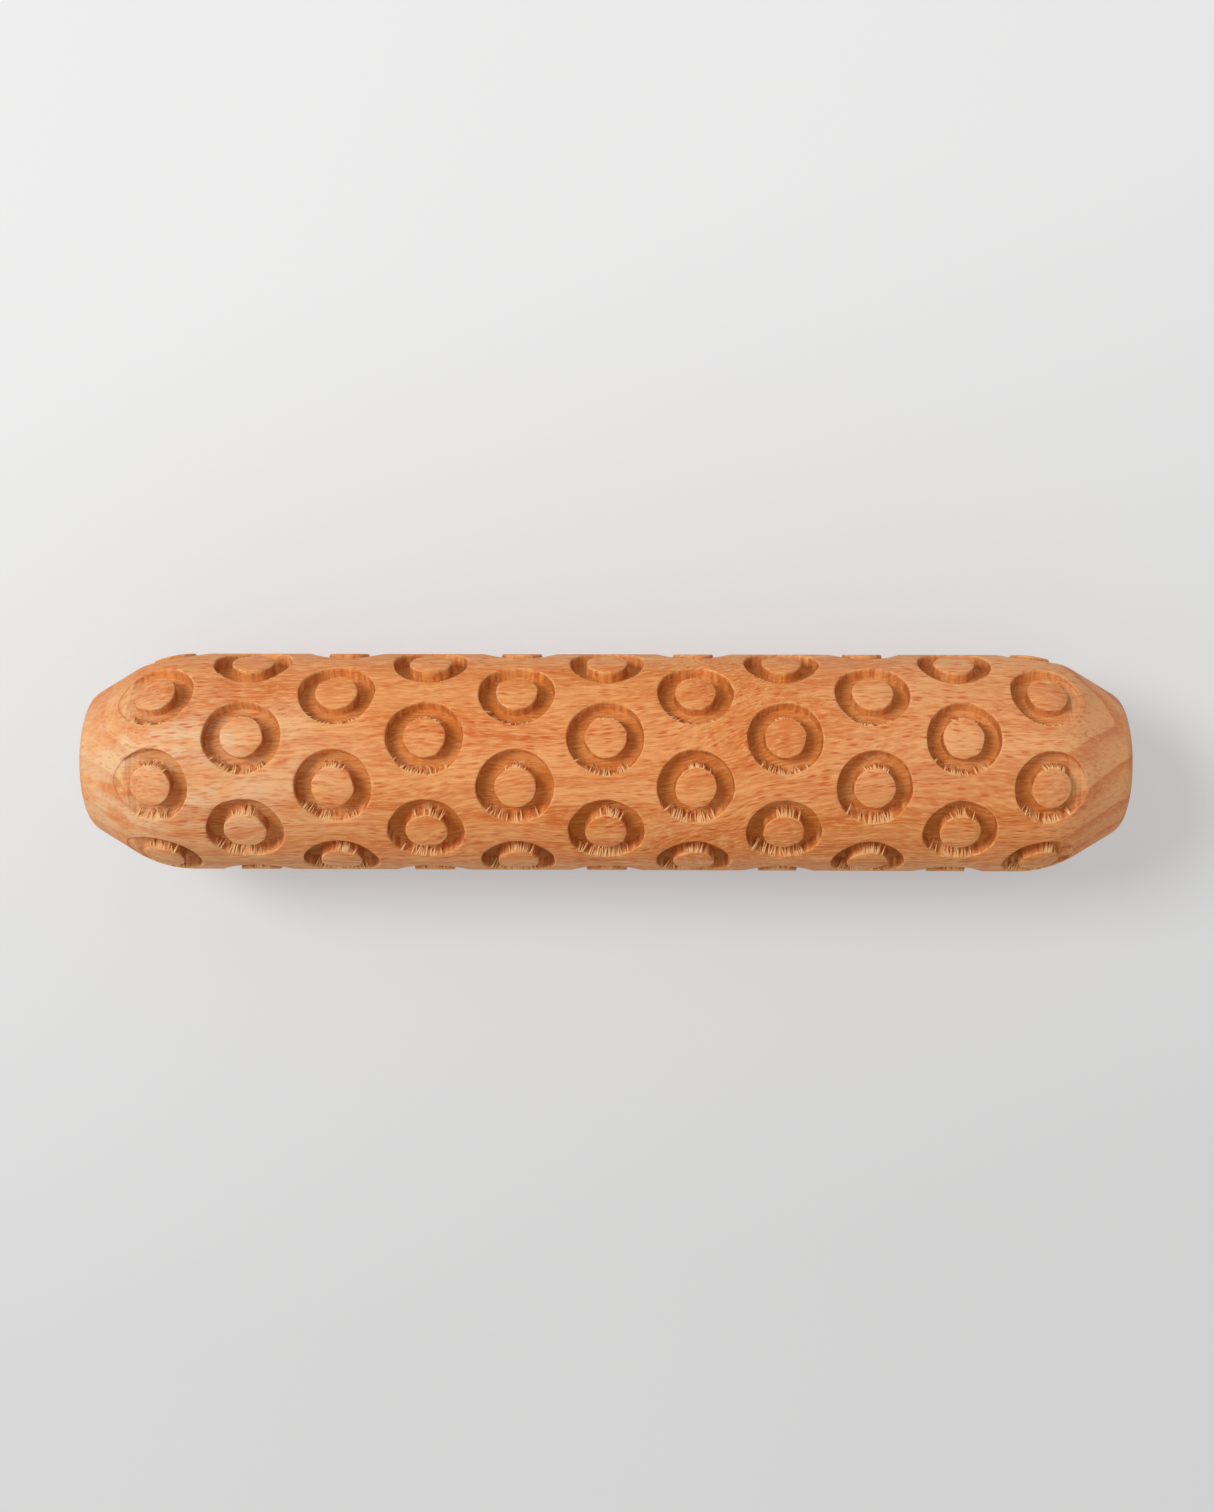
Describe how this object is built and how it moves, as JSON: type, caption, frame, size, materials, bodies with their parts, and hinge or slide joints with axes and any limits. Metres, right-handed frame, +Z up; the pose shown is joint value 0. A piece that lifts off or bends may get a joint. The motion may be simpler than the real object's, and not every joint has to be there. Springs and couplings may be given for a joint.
{
  "type": "clay texture roller",
  "caption": "Turned wooden hand roller with tapered ends, carved all round with staggered ring grooves that press raised rings into clay.",
  "frame": {"origin": "middle of the roller, on its turning axis", "axes": "+X along the roller to the end that the picture shows on the right, +Z up as it lies on a table, +Y away from the person who rolls it"},
  "size_m": [0.128, 0.027, 0.027],
  "materials": {
    "beech_wood": "fine sanded, satin from handling; darker and rougher in the cut grooves"
  },
  "bodies": {
    "root": {"carved_roller": "beech_wood"}
  },
  "joints": []
}
